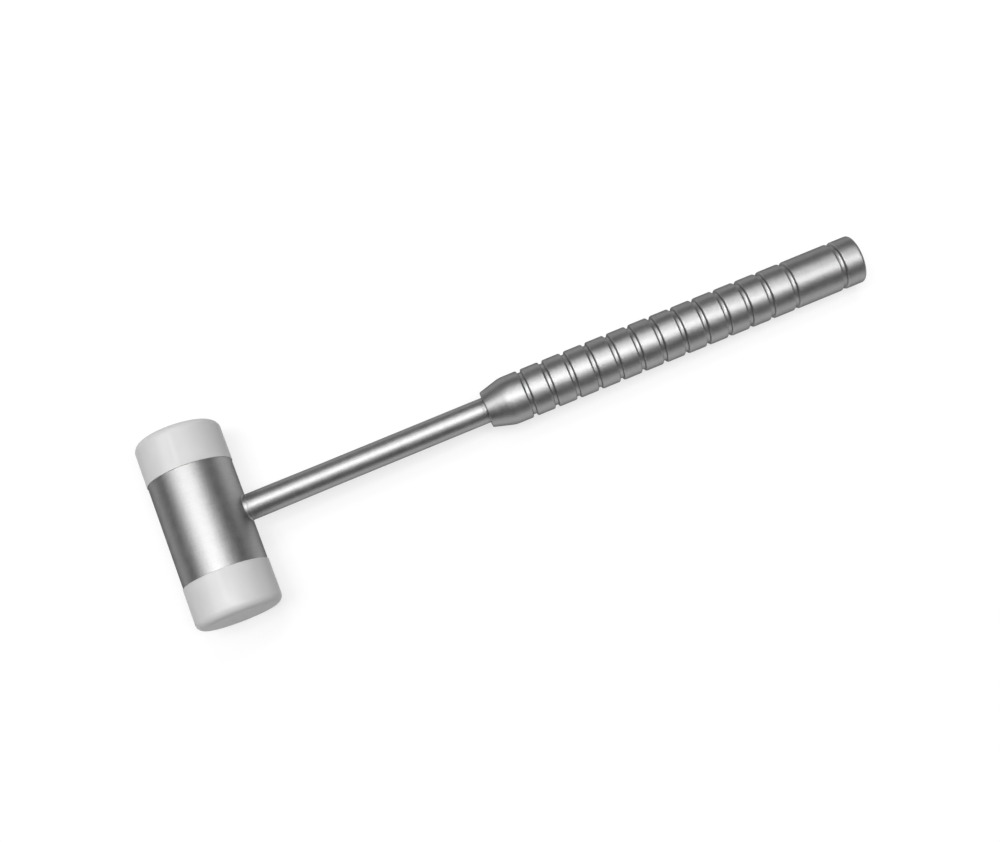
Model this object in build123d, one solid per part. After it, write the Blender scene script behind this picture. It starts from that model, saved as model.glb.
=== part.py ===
from build123d import *
from math import asin, atan2, cos, degrees, hypot, sin
import os

# Surgical mallet, lying on its side: a steel barrel with two nylon striking faces,
# a brazed neck rod and a hollow grip with turned grooves.
# Each piece is drawn about the crossing of the head's and the handle's centre lines,
# with the handle along +X and the head along Y, and is then laid down by rest_place.

# Head barrel
barrel_diameter = 25.0
barrel_length = 31.4
barrel_edge_chamfer = 0.25

# Nylon striking faces
face_overhang = 0.2
face_length = 12.9
face_corner_radius = 2.4
face_seam_chamfer = 0.3
stud_diameter = 10.0
stud_length = 8.0
stud_tip_chamfer = 0.8
stud_clearance = 0.05
stud_end_space = 0.8
bore_mouth_chamfer = 0.5

# Neck rod and its braze
neck_diameter = 7.7
neck_root_diameter = 7.9
neck_root_length = 3.0
neck_taper_length = 22.0
neck_socket_depth = 18.0
neck_end_chamfer = 0.4
neck_clearance = 0.03
braze_radius = 1.0
braze_well_width = 0.6
braze_well_depth = 2.0

# Grip, measured along the handle
head_to_grip = 74.4
grip_diameter = 14.55
nose_diameter = 10.8
nose_length = 6.6
nose_blend_radius = 8.0
nose_edge_radius = 0.3
neck_seat_length = 18.0
tube_bore_diameter = 11.0
bore_shoulder_chamfer = 1.6

# Ring grooves of the grip
first_groove_offset = 12.8
groove_pitch = 6.86
even_groove_count = 12
last_groove_gap = 7.75
plain_length = 15.4
groove_depth = 0.8
groove_floor_width = 0.7
groove_mouth_width = 1.5
groove_shoulder_radius = 0.7

# End cap
cap_length = 6.55
cap_edge_radius = 0.85
cap_spigot_length = 6.0
cap_spigot_chamfer = 0.5
cap_clearance = 0.03

# Places that follow from the sizes above
barrel_radius = barrel_diameter / 2
face_radius = barrel_radius + face_overhang
neck_radius = neck_diameter / 2
neck_root_radius = neck_root_diameter / 2
grip_radius = grip_diameter / 2
grip_start = barrel_radius + head_to_grip
neck_end = grip_start + neck_seat_length
socket_end = barrel_radius - neck_socket_depth
first_groove = grip_start + first_groove_offset
last_even_groove = first_groove + (even_groove_count - 1) * groove_pitch
last_groove = last_even_groove + last_groove_gap
cap_seam = last_groove + plain_length
grip_end = cap_seam + cap_length


def corner_at(sketch, x, y):
    # The corner of an outline that lies nearest to a point.
    return sketch.vertices().sort_by_distance((x, y))[0]


def band(start, end, radius):
    # Half section of a plain round bar along the handle.
    return Pos((start + end) / 2, radius / 2) * Rectangle(end - start, radius)


def groove_places():
    # Even ring grooves, the one set a little further off, and the one over the cap's seam.
    even = [first_groove + i * groove_pitch for i in range(even_groove_count)]
    return even + [last_groove, cap_seam]


def groove_cutter():
    # Ring groove with a flat floor and sloping walls, drawn about its middle on the surface.
    half_floor = groove_floor_width / 2
    half_mouth = groove_mouth_width / 2
    outline = Polyline(
        (-half_mouth, 0),
        (-half_floor, -groove_depth),
        (half_floor, -groove_depth),
        (half_mouth, 0),
        close=True,
    )
    return make_face(outline)


def handle_section():
    # Half section of the handle from nose to end, as if solid, with its grooves.
    cone_end = grip_start + nose_length
    outline = Polyline(
        (grip_start, 0),
        (grip_start, nose_diameter / 2),
        (cone_end, grip_radius),
        (grip_end, grip_radius),
        (grip_end, 0),
        close=True,
    )
    section = make_face(outline)
    places = groove_places()
    for place in places:
        section -= Pos(place, grip_radius) * groove_cutter()
    surface = section.vertices().group_by(Axis.Y)[-1]
    shoulders = surface.filter_by_position(
        Axis.X, places[0] - groove_mouth_width, places[-1] + groove_mouth_width
    )
    section = fillet(shoulders, groove_shoulder_radius)
    section = fillet(corner_at(section, cone_end, grip_radius), nose_blend_radius)
    section = fillet(corner_at(section, grip_start, nose_diameter / 2), nose_edge_radius)
    return fillet(corner_at(section, grip_end, grip_radius), cap_edge_radius)


def grip_tube():
    # Nose and grooved tube in one piece, bored from its far end and for the rod in its nose.
    section = handle_section() & band(grip_start, cap_seam, grip_diameter)
    section -= band(grip_start, neck_end, neck_radius + neck_clearance)
    bore = band(neck_end, cap_seam, tube_bore_diameter / 2)
    bore = chamfer(corner_at(bore, neck_end, tube_bore_diameter / 2), bore_shoulder_chamfer)
    return revolve(section - bore, Axis.X)


def end_cap():
    # Plug that closes the tube, seated on the tube's end in the last groove.
    section = handle_section() & band(cap_seam, grip_end, grip_diameter)
    spigot_radius = tube_bore_diameter / 2 - cap_clearance
    spigot_end = cap_seam - cap_spigot_length
    spigot = band(spigot_end, cap_seam, spigot_radius)
    spigot = chamfer(corner_at(spigot, spigot_end, spigot_radius), cap_spigot_chamfer)
    return revolve(section + spigot, Axis.X)


def neck_rod():
    # Rod that swells slightly towards the head and runs into the grip's nose.
    taper_start = barrel_radius + neck_root_length
    outline = Polyline(
        (socket_end, 0),
        (socket_end, neck_root_radius),
        (taper_start, neck_root_radius),
        (taper_start + neck_taper_length, neck_radius),
        (neck_end, neck_radius),
        (neck_end, 0),
        close=True,
    )
    section = make_face(outline)
    ends = [corner_at(section, socket_end, neck_root_radius)]
    ends.append(corner_at(section, neck_end, neck_radius))
    return revolve(chamfer(ends, neck_end_chamfer), Axis.X)


def barrel_blank():
    # The turned outside of the barrel, before its holes.
    blank = Rot(X=90, Z=180) * Cylinder(barrel_radius, barrel_length)
    return chamfer(blank.edges().filter_by(GeomType.CIRCLE), barrel_edge_chamfer)


def braze_well():
    # Countersink round the mouth of the neck's socket, which the filler sinks into.
    outline = Polyline(
        (barrel_radius - braze_well_depth, 0),
        (barrel_radius - braze_well_depth, neck_root_radius),
        (barrel_radius, neck_root_radius + braze_well_width),
        (barrel_radius, 0),
        close=True,
    )
    return revolve(make_face(outline), Axis.X)


def head_barrel():
    # Barrel with a threaded hole in each end and a blind socket in its side.
    bore_radius = stud_diameter / 2 + stud_clearance
    bore_end = barrel_length / 2 - stud_length - stud_end_space
    outline = Polyline(
        (0, bore_end),
        (bore_radius, bore_end),
        (bore_radius, barrel_length / 2 - bore_mouth_chamfer),
        (bore_radius + bore_mouth_chamfer, barrel_length / 2),
        (0, barrel_length / 2),
        close=True,
    )
    bore = revolve(make_face(outline), Axis.Y)
    socket_radius = neck_root_radius + neck_clearance
    socket = revolve(band(socket_end, face_radius, socket_radius), Axis.X)
    return barrel_blank() - bore - mirror(bore, Plane.XZ) - socket - braze_well()


def neck_braze():
    # Filler that sinks into the socket's mouth and ends in a concave ring round the rod.
    barrel = barrel_blank()
    rod = neck_rod()
    joined = barrel + rod
    corner = new_edges(barrel, rod, combined=joined)
    return fillet(corner, braze_radius) - (barrel - braze_well()) - rod


def striking_face():
    # Nylon face at the +Y end, turned in one with its stud.
    seat = barrel_length / 2
    end = seat + face_length
    tip = seat - stud_length
    stud_radius = stud_diameter / 2
    outline = Polyline(
        (0, tip),
        (stud_radius - stud_tip_chamfer, tip),
        (stud_radius, tip + stud_tip_chamfer),
        (stud_radius, seat),
        (face_radius, seat),
        (face_radius, end),
        (0, end),
        close=True,
    )
    section = make_face(outline)
    section = fillet(corner_at(section, face_radius, end), face_corner_radius)
    section = chamfer(corner_at(section, face_radius, seat), face_seam_chamfer)
    return revolve(section, Axis.Y)


def rest_place():
    # The head lies on its two nylon faces, and the handle dips until its rounded end
    # touches the same surface. The origin is under the middle of the whole mallet.
    edge_along = grip_end - cap_edge_radius
    edge_out = grip_radius - cap_edge_radius
    reach = hypot(edge_along, edge_out)
    tilt = asin((face_radius - cap_edge_radius) / reach) - atan2(edge_out, edge_along)
    far_end = edge_along * cos(tilt) + edge_out * sin(tilt) + cap_edge_radius
    middle = (far_end - face_radius) / 2
    return Pos(-middle, 0, face_radius) * Rot(Y=degrees(tilt))


face = striking_face()
pieces = {
    "head_barrel": head_barrel(),
    "upper_striking_face": face,
    "lower_striking_face": Rot(X=180) * face,
    "neck_rod": neck_rod(),
    "neck_braze": neck_braze(),
    "grip_tube": grip_tube(),
    "end_cap": end_cap(),
}

os.makedirs("parts", exist_ok=True)
place = rest_place()
for name, piece in pieces.items():
    export_step(place * piece, f"parts/{name}.step")
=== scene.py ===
import bpy
import bmesh
from math import acos, atan2, cos, hypot, pi, radians, sin, sqrt
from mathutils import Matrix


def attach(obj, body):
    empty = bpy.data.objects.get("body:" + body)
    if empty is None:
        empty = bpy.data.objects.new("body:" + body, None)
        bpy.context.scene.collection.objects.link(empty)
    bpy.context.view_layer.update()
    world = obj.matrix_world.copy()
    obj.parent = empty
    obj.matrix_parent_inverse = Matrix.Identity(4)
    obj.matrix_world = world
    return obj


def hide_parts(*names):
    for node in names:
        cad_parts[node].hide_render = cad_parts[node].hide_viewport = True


# Surgical mallet lying on its side. Lengths in the pieces' dictionaries are in millimetres, and
# those of the camera's place, the studio and the materials in metres.

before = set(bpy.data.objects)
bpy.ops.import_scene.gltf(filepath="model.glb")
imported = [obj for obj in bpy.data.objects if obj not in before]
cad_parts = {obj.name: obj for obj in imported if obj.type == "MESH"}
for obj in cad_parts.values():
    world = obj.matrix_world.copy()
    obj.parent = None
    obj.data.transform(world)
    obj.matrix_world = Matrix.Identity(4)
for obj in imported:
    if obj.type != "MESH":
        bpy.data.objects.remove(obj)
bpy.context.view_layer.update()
mm = 0.001
print("frame loaded:", sorted(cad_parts))


# Camera, at the photograph's viewing angle

cameraSettings = {
    "place": (-0.01218, -0.07396, 0.34988),
    "turn": (11.003, 3.622, -22.396),   # degrees
    "lens": 42.86,                      # mm
    "sensorWidth": 36,                  # mm
    "nearest": 0.01,                    # metres
}


def addCamera(settings):
    bpy.ops.object.camera_add(
        location=settings["place"],
        rotation=[radians(angle) for angle in settings["turn"]],
    )
    camera = bpy.context.object
    camera.name = "photoCamera"
    camera.data.lens = settings["lens"]
    camera.data.sensor_width = settings["sensorWidth"]
    camera.data.clip_start = settings["nearest"]
    bpy.context.scene.camera = camera
    print("camera placed")


# Pale floor and soft overhead light

studioSettings = {
    "floorSize": 4.0,
    "floorColour": (0.31, 0.31, 0.31, 1),
    "floorGlow": 0.69,                  # what the floor adds towards white
    "airColour": (0.03, 0.03, 0.03, 1),
    "softboxHeight": 1.6,
    "softboxes": {                      # x, y, width, depth, watts
        "keySoftbox": (-0.05, -0.03, 1.2, 0.5, 12.4),
        "stripSoftbox": (-0.25, 0.38, 0.26, 0.6, 2.9),      # streak on the upper face
        "leftSoftbox": (-1.0, 0.35, 1.0, 0.9, 8.6),
        "backSoftbox": (0.4, 0.9, 0.8, 0.7, 7.4),
        "rightSoftbox": (0.75, -0.42, 0.8, 0.5, 9.0),
    },
}


def floorMaterial(settings):
    material = bpy.data.materials.new("paleFloor")
    material.use_nodes = True
    nodes = material.node_tree.nodes
    links = material.node_tree.links
    nodes.clear()
    output = nodes.new("ShaderNodeOutputMaterial")
    add = nodes.new("ShaderNodeAddShader")
    paint = nodes.new("ShaderNodeBsdfDiffuse")
    paint.inputs["Color"].default_value = settings["floorColour"]
    glow = nodes.new("ShaderNodeEmission")
    rays = nodes.new("ShaderNodeLightPath")
    seen = nodes.new("ShaderNodeMath")      # camera or glossy
    seen.operation = "MAXIMUM"
    through = nodes.new("ShaderNodeMath")   # or transmission
    through.operation = "MAXIMUM"
    strength = nodes.new("ShaderNodeMath")
    strength.operation = "MULTIPLY"
    strength.inputs[1].default_value = settings["floorGlow"]
    links.new(rays.outputs["Is Camera Ray"], seen.inputs[0])
    links.new(rays.outputs["Is Glossy Ray"], seen.inputs[1])
    links.new(seen.outputs[0], through.inputs[0])
    links.new(rays.outputs["Is Transmission Ray"], through.inputs[1])
    links.new(through.outputs[0], strength.inputs[0])
    links.new(strength.outputs[0], glow.inputs["Strength"])
    links.new(paint.outputs[0], add.inputs[0])
    links.new(glow.outputs[0], add.inputs[1])
    links.new(add.outputs[0], output.inputs["Surface"])
    return material


def addSoftbox(name, x, y, height, width, depth, watts):
    bpy.ops.object.light_add(type="AREA", location=(x, y, height))
    lamp = bpy.context.object
    lamp.name = name
    lamp.data.shape = "RECTANGLE"
    lamp.data.size = width
    lamp.data.size_y = depth
    lamp.data.energy = watts


def addStudio(settings):
    bpy.ops.mesh.primitive_plane_add(size=settings["floorSize"])
    floor = bpy.context.object
    floor.name = "paleFloor"
    floor.data.materials.append(floorMaterial(settings))

    world = bpy.data.worlds.new("studioAir")
    world.use_nodes = True
    air = world.node_tree.nodes["Background"]
    air.inputs["Color"].default_value = settings["airColour"]
    bpy.context.scene.world = world

    for name, (x, y, width, depth, watts) in settings["softboxes"].items():
        addSoftbox(name, x, y, settings["softboxHeight"], width, depth, watts)
    bpy.context.scene.view_settings.view_transform = "Standard"
    print("studio lit")


# Shared shader groups. Their Vector is a place on the piece with X along its axis.

patternSettings = {
    "fineDetail": 2,
    "cloudDetail": 3,
    "cloudScale": 1.5,                  # times Round per m
    "middle": 0.5,                      # the shade that leaves the roughness as it is
}


def newGroup(name, inputs, outputs):
    group = bpy.data.node_groups.new(name, "ShaderNodeTree")
    for socket, kind, value in inputs:
        item = group.interface.new_socket(name=socket, in_out="INPUT", socket_type=kind)
        if value is not None:
            item.default_value = value
    for socket, kind in outputs:
        group.interface.new_socket(name=socket, in_out="OUTPUT", socket_type=kind)
    enter = group.nodes.new("NodeGroupInput")
    leave = group.nodes.new("NodeGroupOutput")
    return group, enter, leave


def mathNode(group, operation, first, second):
    node = group.nodes.new("ShaderNodeMath")
    node.operation = operation
    for socket, value in zip(node.inputs, (first, second)):
        if isinstance(value, (int, float)):
            socket.default_value = value
        else:
            group.links.new(value, socket)
    return node.outputs[0]


def noiseNode(group, vector, scale, detail):
    node = group.nodes.new("ShaderNodeTexNoise")
    node.inputs["Scale"].default_value = 1
    node.inputs["Detail"].default_value = detail
    group.links.new(vector, node.inputs["Vector"])
    if scale is not None:
        group.links.new(scale, node.inputs["Scale"])
    return node.outputs["Fac"]


def turnedGrainGroup(settings):
    # Fine blasted grain over the faint rings that turning leaves round a piece.
    group, enter, leave = newGroup(
        "turnedGrain",
        [
            ("Vector", "NodeSocketVector", None),
            ("Rings per m", "NodeSocketFloat", 2500.0),
            ("Round per m", "NodeSocketFloat", 160.0),
            ("Grains per m", "NodeSocketFloat", 4000.0),
            ("Ring Height", "NodeSocketFloat", 0.5),
            ("Grain Height", "NodeSocketFloat", 0.5),
            ("Roughness", "NodeSocketFloat", 0.4),
            ("Roughness Spread", "NodeSocketFloat", 0.1),
        ],
        [
            ("Height", "NodeSocketFloat"),
            ("Shade", "NodeSocketFloat"),
            ("Roughness", "NodeSocketFloat"),
        ],
    )
    join = group.nodes.new("ShaderNodeCombineXYZ")
    stretch = group.nodes.new("ShaderNodeVectorMath")
    stretch.operation = "MULTIPLY"
    group.links.new(enter.outputs["Rings per m"], join.inputs["X"])
    group.links.new(enter.outputs["Round per m"], join.inputs["Y"])
    group.links.new(enter.outputs["Round per m"], join.inputs["Z"])
    group.links.new(enter.outputs["Vector"], stretch.inputs[0])
    group.links.new(join.outputs[0], stretch.inputs[1])
    fineDetail = settings["fineDetail"]
    rings = noiseNode(group, stretch.outputs[0], None, fineDetail)
    grains = noiseNode(group, enter.outputs["Vector"], enter.outputs["Grains per m"], fineDetail)
    cloudScale = mathNode(group, "MULTIPLY", enter.outputs["Round per m"], settings["cloudScale"])
    cloud = noiseNode(group, enter.outputs["Vector"], cloudScale, settings["cloudDetail"])
    ringHeight = mathNode(group, "MULTIPLY", rings, enter.outputs["Ring Height"])
    grainHeight = mathNode(group, "MULTIPLY", grains, enter.outputs["Grain Height"])
    group.links.new(mathNode(group, "ADD", ringHeight, grainHeight), leave.inputs["Height"])
    blend = mathNode(group, "ADD", mathNode(group, "ADD", rings, grains), cloud)
    shade = mathNode(group, "MULTIPLY", blend, 1 / 3)      # mean of the three patterns
    group.links.new(shade, leave.inputs["Shade"])
    fromMiddle = mathNode(group, "SUBTRACT", shade, settings["middle"])
    offset = mathNode(group, "MULTIPLY", fromMiddle, enter.outputs["Roughness Spread"])
    roughness = mathNode(group, "ADD", enter.outputs["Roughness"], offset)
    group.links.new(roughness, leave.inputs["Roughness"])
    return group


def cloudGroup(settings):
    # Soft cloudiness inside a milky plastic, with a fine matt skin.
    group, enter, leave = newGroup(
        "milkyCloud",
        [
            ("Vector", "NodeSocketVector", None),
            ("Clouds per m", "NodeSocketFloat", 120.0),
            ("Grains per m", "NodeSocketFloat", 3000.0),
        ],
        [("Shade", "NodeSocketFloat"), ("Height", "NodeSocketFloat")],
    )
    vector = enter.outputs["Vector"]
    clouds = noiseNode(group, vector, enter.outputs["Clouds per m"], settings["cloudDetail"])
    grains = noiseNode(group, vector, enter.outputs["Grains per m"], settings["fineDetail"])
    group.links.new(clouds, leave.inputs["Shade"])
    group.links.new(grains, leave.inputs["Height"])
    return group


# Materials. A turn brings the piece's axis onto X of its pattern.

steelSettings = {
    "dark": (0.27, 0.27, 0.27, 1),
    "light": (0.53, 0.53, 0.53, 1),
    "edgeTint": (0.05, 0.05, 0.05, 1),
    "roughness": 0.46,
    "roughnessSpread": 0.25,
    "ringsPerM": 2600.0,
    "roundPerM": 260.0,
    "grainsPerM": 3000.0,
    "ringHeight": 0.5,
    "grainHeight": 0.7,
    "bumpReach": 0.00008,
    "bump": 0.6,
}

brazeSettings = dict(steelSettings, roughness=0.48)

nylonSettings = {
    "dark": (0.61, 0.61, 0.61, 1),
    "light": (0.69, 0.69, 0.69, 1),
    "roughness": 0.6,
    "coat": 0.32,
    "coatRoughness": 0.12,
    "depth": 0.2,                       # how much light passes under the surface
    "depthReach": 0.002,
    "depthSpread": (1, 1, 1),           # alike in red, green and blue
    "cloudsPerM": 110.0,
    "grainsPerM": 3500.0,
    "bumpReach": 0.00002,
    "bump": 0.12,
}


def startMaterial(name, turn):
    material = bpy.data.materials.new(name)
    material.use_nodes = True
    tree = material.node_tree
    place = tree.nodes.new("ShaderNodeTexCoord")
    mapping = tree.nodes.new("ShaderNodeMapping")
    mapping.vector_type = "POINT"
    mapping.inputs["Rotation"].default_value = [radians(angle) for angle in turn]
    tree.links.new(place.outputs["Object"], mapping.inputs["Vector"])
    return material, tree, tree.nodes["Principled BSDF"], mapping.outputs["Vector"]


def colourBetween(tree, factor, dark, light):
    mix = tree.nodes.new("ShaderNodeMix")
    mix.data_type = "RGBA"
    tree.links.new(factor, mix.inputs["Factor"])
    mix.inputs["A"].default_value = dark
    mix.inputs["B"].default_value = light
    return mix.outputs["Result"]


def bumpFrom(tree, height, settings):
    bump = tree.nodes.new("ShaderNodeBump")
    bump.inputs["Strength"].default_value = settings["bump"]
    bump.inputs["Distance"].default_value = settings["bumpReach"]
    tree.links.new(height, bump.inputs["Height"])
    return bump.outputs["Normal"]


def steelMaterial(name, settings, group, turn):
    material, tree, shader, vector = startMaterial(name, turn)
    grain = tree.nodes.new("ShaderNodeGroup")
    grain.node_tree = group
    grain.inputs["Rings per m"].default_value = settings["ringsPerM"]
    grain.inputs["Round per m"].default_value = settings["roundPerM"]
    grain.inputs["Grains per m"].default_value = settings["grainsPerM"]
    grain.inputs["Ring Height"].default_value = settings["ringHeight"]
    grain.inputs["Grain Height"].default_value = settings["grainHeight"]
    grain.inputs["Roughness"].default_value = settings["roughness"]
    grain.inputs["Roughness Spread"].default_value = settings["roughnessSpread"]
    tree.links.new(vector, grain.inputs["Vector"])
    shader.inputs["Metallic"].default_value = 1
    shader.inputs["Specular Tint"].default_value = settings["edgeTint"]
    colour = colourBetween(tree, grain.outputs["Shade"], settings["dark"], settings["light"])
    tree.links.new(colour, shader.inputs["Base Color"])
    tree.links.new(grain.outputs["Roughness"], shader.inputs["Roughness"])
    tree.links.new(bumpFrom(tree, grain.outputs["Height"], settings), shader.inputs["Normal"])
    return material


def nylonMaterial(settings, group):
    material, tree, shader, vector = startMaterial("milkyNylon", (0, 0, 0))
    cloud = tree.nodes.new("ShaderNodeGroup")
    cloud.node_tree = group
    cloud.inputs["Clouds per m"].default_value = settings["cloudsPerM"]
    cloud.inputs["Grains per m"].default_value = settings["grainsPerM"]
    tree.links.new(vector, cloud.inputs["Vector"])
    shader.inputs["Roughness"].default_value = settings["roughness"]
    shader.inputs["Coat Weight"].default_value = settings["coat"]
    shader.inputs["Coat Roughness"].default_value = settings["coatRoughness"]
    shader.inputs["Subsurface Weight"].default_value = settings["depth"]
    shader.inputs["Subsurface Radius"].default_value = settings["depthSpread"]
    shader.inputs["Subsurface Scale"].default_value = settings["depthReach"]
    colour = colourBetween(tree, cloud.outputs["Shade"], settings["dark"], settings["light"])
    tree.links.new(colour, shader.inputs["Base Color"])
    tree.links.new(bumpFrom(tree, cloud.outputs["Height"], settings), shader.inputs["Normal"])
    return material


# Turned pieces: a half profile is drawn with X along the axis and Z outwards, its corners are
# rounded, and it is spun and then laid where it belongs.

meshSettings = {
    "drawnMerge": 1e-7,                 # metres, between points drawn twice
    "spunMerge": 2e-6,                  # metres, at the spin's seam and on its axis
    "near": 0.01,                       # mm, how exactly a corner is found again
    "smoothAngle": 32,                  # degrees
}


def clearSelection():
    bpy.ops.object.select_all(action="DESELECT")


def drawProfile(name, corners):
    # A small plane merged to its middle gives the first point, and the rest are extruded from it.
    clearSelection()
    bpy.ops.mesh.primitive_plane_add(size=mm)
    piece = bpy.context.object
    piece.name = name
    piece.data.name = name
    bpy.ops.object.mode_set(mode="EDIT")
    bpy.ops.mesh.select_mode(type="VERT")
    bpy.ops.mesh.select_all(action="SELECT")
    bpy.ops.mesh.merge(type="CENTER")
    along, out = corners[0]
    bpy.ops.transform.translate(value=(along * mm, 0, out * mm))
    for nextAlong, nextOut in corners[1:]:
        step = ((nextAlong - along) * mm, 0, (nextOut - out) * mm)
        bpy.ops.mesh.extrude_region_move(TRANSFORM_OT_translate={"value": step})
        along, out = nextAlong, nextOut
    bpy.ops.mesh.select_all(action="SELECT")
    bpy.ops.mesh.remove_doubles(threshold=meshSettings["drawnMerge"])
    return piece


def selectCorners(piece, places):
    # Selects the profile's points that lie at any of the places.
    near = meshSettings["near"]
    shape = bmesh.from_edit_mesh(piece.data)
    for edge in shape.edges:
        edge.select = False
    for point in shape.verts:
        along, out = point.co.x / mm, point.co.z / mm
        point.select = any(abs(along - a) < near and abs(out - o) < near for a, o in places)
    bmesh.update_edit_mesh(piece.data)


def roundCorners(piece, places, cut, segments):
    bpy.ops.mesh.select_mode(type="VERT")
    selectCorners(piece, places)
    bpy.ops.mesh.bevel(
        offset=cut * mm, segments=segments, affect="VERTICES", clamp_overlap=True)


def spinProfile(piece, steps):
    bpy.ops.mesh.select_all(action="SELECT")
    bpy.ops.mesh.spin(steps=steps, angle=2 * pi, center=(0, 0, 0), axis=(1, 0, 0))
    bpy.ops.mesh.select_all(action="SELECT")
    bpy.ops.mesh.remove_doubles(threshold=meshSettings["spunMerge"])
    bpy.ops.mesh.normals_make_consistent(inside=False)
    bpy.ops.object.mode_set(mode="OBJECT")


def layPiece(piece, place, turn):
    piece.location = [length * mm for length in place]
    piece.rotation_euler = [radians(angle) for angle in turn]
    bpy.ops.object.transform_apply(location=True, rotation=True, scale=True)


def finishPiece(piece, material, nodes, smoothAngle=meshSettings["smoothAngle"]):
    clearSelection()
    piece.select_set(True)
    bpy.context.view_layer.objects.active = piece
    bpy.ops.object.shade_smooth_by_angle(angle=radians(smoothAngle))
    bpy.ops.object.modifier_add(type="WEIGHTED_NORMAL")
    piece.modifiers[-1].keep_sharp = True
    bpy.ops.object.modifier_apply(modifier=piece.modifiers[-1].name)
    piece.data.materials.clear()
    piece.data.materials.append(material)
    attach(piece, "root")
    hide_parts(*nodes)
    print("made", piece.name, len(piece.data.polygons), "faces")


# Where the pieces lie: the head's middle, and the handle's dip from there to the floor

laySettings = {
    "headPlace": (-96.1294, 0, 12.7),
    "handleDip": 1.52442,               # degrees
}


def layByHandle(piece):
    layPiece(piece, laySettings["headPlace"], (0, laySettings["handleDip"], 0))


# Nylon striking faces, each with the stud that screws into the barrel

faceSettings = {
    "seat": 15.7,                       # from the head's middle
    "length": 12.9,
    "radius": 12.7,
    "cornerCut": 2.4,
    "cornerSegments": 12,
    "seamCut": 0.05,
    "studRadius": 5.0,
    "studLength": 8.0,
    "studCut": 0.8,
    "steps": 128,
}


def addStrikingFace(name, node, turn, settings, material):
    seat = settings["seat"]
    end = seat + settings["length"]
    radius = settings["radius"]
    tip = seat - settings["studLength"]
    stud = settings["studRadius"]
    piece = drawProfile(name, [
        (tip, 0),
        (tip, stud - settings["studCut"]),
        (tip + settings["studCut"], stud),
        (seat, stud),
        (seat, radius - settings["seamCut"]),
        (seat + settings["seamCut"], radius),
        (end, radius),
        (end, 0),
    ])
    roundCorners(piece, [(end, radius)], settings["cornerCut"], settings["cornerSegments"])
    spinProfile(piece, settings["steps"])
    layPiece(piece, laySettings["headPlace"], turn)
    finishPiece(piece, material, [node])


# Barrel: bored for the studs at both ends and for the rod in its side

barrelSettings = {
    "radius": 12.5,
    "halfLength": 15.7,
    "edgeCut": 0.05,
    "boreRadius": 5.05,
    "boreEnd": 6.9,
    "boreMouth": 0.5,
    "socketRadius": 3.98,
    "socketEnd": -5.5,
    "socketSteps": 96,
    "drillOvershoot": 2,                # how far the drill stands out of the barrel
    "steps": 180,
}


def addBarrel(settings, material):
    radius, half, edge = settings["radius"], settings["halfLength"], settings["edgeCut"]
    end, bore, mouth = settings["boreEnd"], settings["boreRadius"], settings["boreMouth"]
    oneEnd = [
        (end, 0),
        (end, bore),
        (half - mouth, bore),
        (half, bore + mouth),
        (half, radius - edge),
        (half - edge, radius),
    ]
    otherEnd = [(-along, out) for along, out in reversed(oneEnd)]
    piece = drawProfile("headBarrel", oneEnd + otherEnd)
    spinProfile(piece, settings["steps"])
    layPiece(piece, (0, 0, 0), (0, 0, 90))

    clearSelection()
    depth = radius - settings["socketEnd"]
    overshoot = settings["drillOvershoot"]
    bpy.ops.mesh.primitive_cylinder_add(
        vertices=settings["socketSteps"],
        radius=settings["socketRadius"] * mm,
        depth=(depth + overshoot) * mm,
        location=((settings["socketEnd"] + depth / 2 + overshoot / 2) * mm, 0, 0),
        rotation=(0, pi / 2, 0),
    )
    cutter = bpy.context.object
    clearSelection()
    piece.select_set(True)
    bpy.context.view_layer.objects.active = piece
    bpy.ops.object.modifier_add(type="BOOLEAN")
    drill = piece.modifiers[-1]
    drill.operation = "DIFFERENCE"
    drill.solver = "EXACT"
    drill.object = cutter
    bpy.ops.object.modifier_apply(modifier=drill.name)
    clearSelection()
    cutter.select_set(True)
    bpy.ops.object.delete()
    piece.select_set(True)
    bpy.context.view_layer.objects.active = piece
    layByHandle(piece)
    finishPiece(piece, material, ["head_barrel"])


# Braze ring: a small hollow fillet that follows the barrel round the foot of the rod

brazeRingSettings = {
    "rodRadius": 3.95,
    "barrelRadius": 12.5,
    "fillet": 0.4,
    "root": 0.3,                        # how far its hidden root goes into the joint
    "bands": 8,
    "steps": 144,
}


def filletPoint(settings, angle, share):
    # A ball of the fillet's radius rolls in the corner between rod and barrel. The share goes
    # from its touch on the rod to its touch on the barrel.
    ball = settings["fillet"]
    rod, barrel = settings["rodRadius"] + ball, settings["barrelRadius"] + ball
    middle = (sqrt(barrel ** 2 - (rod * sin(angle)) ** 2), rod * cos(angle), rod * sin(angle))
    toRod = (0, -cos(angle), -sin(angle))
    reach = hypot(middle[0], middle[2])
    toBarrel = (-middle[0] / reach, 0, -middle[2] / reach)
    spread = acos(sum(a * b for a, b in zip(toRod, toBarrel)))
    first, second = sin((1 - share) * spread) / sin(spread), sin(share * spread) / sin(spread)
    return [m + ball * (first * a + second * b) for m, a, b in zip(middle, toRod, toBarrel)]


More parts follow.
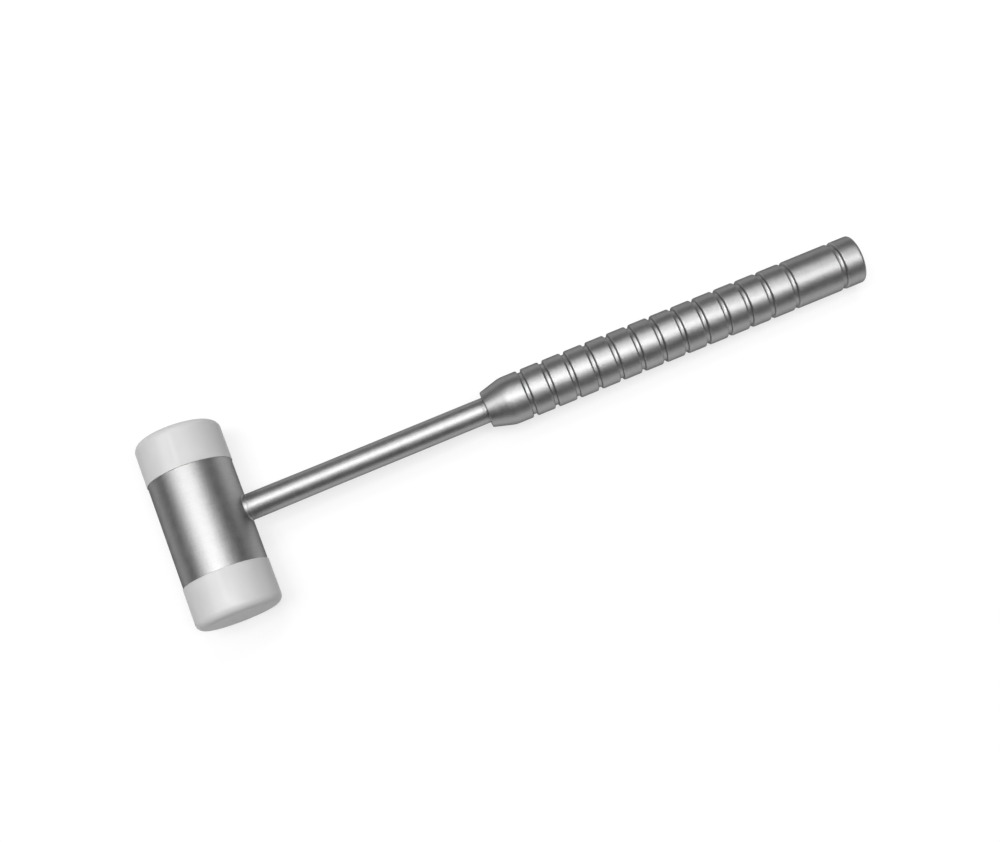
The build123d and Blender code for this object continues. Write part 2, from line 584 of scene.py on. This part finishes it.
def addBrazeRing(settings, material):
    # A ring of points is extruded once for each band, and each band is then set on the fillet.
    clearSelection()
    bpy.ops.mesh.primitive_circle_add(
        vertices=settings["steps"], radius=settings["rodRadius"] * mm, rotation=(0, pi / 2, 0))
    piece = bpy.context.object
    piece.name = "brazeRing"
    piece.data.name = "brazeRing"
    bpy.ops.object.transform_apply(location=True, rotation=True, scale=True)
    bpy.ops.object.mode_set(mode="EDIT")
    bpy.ops.mesh.select_all(action="SELECT")
    bands = settings["bands"]
    for band in range(bands + 1):
        bpy.ops.mesh.extrude_region_move(TRANSFORM_OT_translate={"value": (mm, 0, 0)})
    shape = bmesh.from_edit_mesh(piece.data)
    for point in shape.verts:
        band = round(point.co.x / mm)
        angle = atan2(point.co.z, point.co.y)
        if band <= bands:
            place = filletPoint(settings, angle, band / bands)
        else:
            root = settings["rodRadius"] - settings["root"]
            foot = sqrt(settings["barrelRadius"] ** 2 - (settings["rodRadius"] * sin(angle)) ** 2)
            place = (foot - settings["root"], root * cos(angle), root * sin(angle))
        point.co = [length * mm for length in place]
        point.select = band == 0 or band == bands + 1
    shape.select_flush(True)
    bpy.ops.mesh.select_mode(type="EDGE")
    for edge in shape.edges:
        ends = [point.select for point in edge.verts]
        edge.select = all(ends) and len(edge.link_faces) == 1
    bmesh.update_edit_mesh(piece.data)
    bpy.ops.mesh.bridge_edge_loops()
    bpy.ops.mesh.select_all(action="SELECT")
    bpy.ops.mesh.normals_make_consistent(inside=False)
    bpy.ops.object.mode_set(mode="OBJECT")
    layByHandle(piece)
    finishPiece(piece, material, ["neck_braze"])


# Neck rod, with the fine tool rings at both of its ends

neckSettings = {
    "socketEnd": -5.5,
    "rootRadius": 3.95,
    "taperStart": 15.5,
    "taperEnd": 37.5,
    "radius": 3.85,
    "end": 104.9,
    "endCut": 0.4,
    "ringPlaces": (12.95, 13.45, 85.75, 86.2),
    "ringWidth": 0.2,
    "ringDepth": 0.05,
    "smoothAngle": 40,                  # degrees
    "steps": 96,
}


def addNeck(settings, material):
    def radiusAt(place):
        if place <= settings["taperStart"]:
            return settings["rootRadius"]
        if place >= settings["taperEnd"]:
            return settings["radius"]
        taperLength = settings["taperEnd"] - settings["taperStart"]
        share = (place - settings["taperStart"]) / taperLength
        return settings["rootRadius"] + share * (settings["radius"] - settings["rootRadius"])

    cut = settings["endCut"]
    start, end = settings["socketEnd"], settings["end"]
    stops = [settings["taperStart"], settings["taperEnd"]]
    corners = [
        (start, 0),
        (start, settings["rootRadius"] - cut),
        (start + cut, settings["rootRadius"]),
    ]
    middle = [(stop, radiusAt(stop)) for stop in stops]
    half = settings["ringWidth"] / 2
    for place in settings["ringPlaces"]:
        middle += [
            (place - half, radiusAt(place)),
            (place, radiusAt(place) - settings["ringDepth"]),
            (place + half, radiusAt(place)),
        ]
    corners += sorted(middle)
    corners += [(end - cut, settings["radius"]), (end, settings["radius"] - cut), (end, 0)]
    piece = drawProfile("neckRod", corners)
    spinProfile(piece, settings["steps"])
    layByHandle(piece)
    finishPiece(piece, material, ["neck_rod"], settings["smoothAngle"])


# Grip: nose, ring grooves and plain end of the hollow tube

gripSettings = {
    "start": 86.9,                      # along the handle, from the head's middle
    "radius": 7.275,
    "noseRadius": 5.4,
    "noseLength": 6.6,
    "noseEdgeCut": 0.25,
    "noseEdgeSegments": 4,
    "noseBlendCut": 1.1,
    "noseBlendSegments": 8,
    "rodHole": 3.88,
    "seamGap": 0.3,                     # dark recess round the rod
    "seamDepth": 0.7,
    "firstGroove": 99.7,
    "groovePitch": 6.86,
    "evenGrooves": 12,
    "lastGroove": 182.91,
    "capSeam": 198.31,
    "grooveDepth": 0.8,
    "grooveFloor": 1.0,
    "grooveMouth": 1.45,
    "shoulderCut": 0.36,
    "shoulderSegments": 4,
    "floorCut": 0.08,
    "floorSegments": 2,
    "boreRadius": 5.5,
    "boreStart": 104.9,
    "boreShoulder": 1.6,
    "steps": 144,
}


def groovePlaces(settings):
    first, pitch = settings["firstGroove"], settings["groovePitch"]
    even = [first + i * pitch for i in range(settings["evenGrooves"])]
    return even + [settings["lastGroove"]]


def addGrip(settings, material):
    radius = settings["radius"]
    floorRadius = radius - settings["grooveDepth"]
    halfMouth, halfFloor = settings["grooveMouth"] / 2, settings["grooveFloor"] / 2
    start, seam = settings["start"], settings["capSeam"]
    hole = settings["rodHole"]
    recess = hole + settings["seamGap"]
    recessEnd = start + settings["seamDepth"]
    coneEnd = start + settings["noseLength"]
    corners = [
        (recessEnd, hole),
        (recessEnd, recess),
        (start, recess),
        (start, settings["noseRadius"]),
        (coneEnd, radius),
    ]
    shoulders, floors = [], []
    for place in groovePlaces(settings):
        mouth = [(place - halfMouth, radius), (place + halfMouth, radius)]
        bottom = [(place - halfFloor, floorRadius), (place + halfFloor, floorRadius)]
        corners += [mouth[0], bottom[0], bottom[1], mouth[1]]
        shoulders += mouth
        floors += bottom
    lastMouth, lastFloor = (seam - halfMouth, radius), (seam - halfFloor, floorRadius)
    corners += [lastMouth, lastFloor, (seam, floorRadius), (seam, settings["boreRadius"])]
    bore, shoulder = settings["boreStart"], settings["boreShoulder"]
    corners += [
        (bore + shoulder, settings["boreRadius"]),
        (bore, settings["boreRadius"] - shoulder),
        (bore, hole),
        (recessEnd, hole),
    ]
    piece = drawProfile("grip", corners)
    shoulders.append(lastMouth)
    floors.append(lastFloor)
    blend, edge = [(coneEnd, radius)], [(start, settings["noseRadius"])]
    roundCorners(piece, shoulders, settings["shoulderCut"], settings["shoulderSegments"])
    roundCorners(piece, floors, settings["floorCut"], settings["floorSegments"])
    roundCorners(piece, blend, settings["noseBlendCut"], settings["noseBlendSegments"])
    roundCorners(piece, edge, settings["noseEdgeCut"], settings["noseEdgeSegments"])
    spinProfile(piece, settings["steps"])
    layByHandle(piece)
    finishPiece(piece, material, ["grip_tube"])


# End cap with its spigot inside the tube

capSettings = {
    "length": 6.55,
    "edgeCut": 0.85,
    "edgeSegments": 8,
    "spigotRadius": 5.47,
    "spigotLength": 6.0,
    "spigotCut": 0.5,
}


def addCap(settings, grip, material):
    radius, seam = grip["radius"], grip["capSeam"]
    end = seam + settings["length"]
    floorRadius = radius - grip["grooveDepth"]
    spigot, cut = settings["spigotRadius"], settings["spigotCut"]
    tip = seam - settings["spigotLength"]
    mouth = (seam + grip["grooveMouth"] / 2, radius)
    bottom = (seam + grip["grooveFloor"] / 2, floorRadius)
    piece = drawProfile("endCap", [
        (tip, 0),
        (tip, spigot - cut),
        (tip + cut, spigot),
        (seam, spigot),
        (seam, floorRadius),
        bottom,
        mouth,
        (end, radius),
        (end, 0),
    ])
    roundCorners(piece, [mouth], grip["shoulderCut"], grip["shoulderSegments"])
    roundCorners(piece, [bottom], grip["floorCut"], grip["floorSegments"])
    roundCorners(piece, [(end, radius)], settings["edgeCut"], settings["edgeSegments"])
    spinProfile(piece, grip["steps"])
    layByHandle(piece)
    finishPiece(piece, material, ["end_cap"])


addCamera(cameraSettings)
addStudio(studioSettings)
grainGroup = turnedGrainGroup(patternSettings)
headSteel = steelMaterial("headSteel", steelSettings, grainGroup, (0, 0, -90))
handleTurn = (0, -laySettings["handleDip"], 0)
handleSteel = steelMaterial("handleSteel", steelSettings, grainGroup, handleTurn)
brazeMetal = steelMaterial("brazeMetal", brazeSettings, grainGroup, (0, 0, 0))
nylon = nylonMaterial(nylonSettings, cloudGroup(patternSettings))
print("materials ready")

addStrikingFace("upperFace", "upper_striking_face", (0, 0, 90), faceSettings, nylon)
addStrikingFace("lowerFace", "lower_striking_face", (0, 0, -90), faceSettings, nylon)
addBarrel(barrelSettings, headSteel)
addBrazeRing(brazeRingSettings, brazeMetal)
addNeck(neckSettings, handleSteel)
addGrip(gripSettings, handleSteel)
addCap(capSettings, gripSettings, handleSteel)
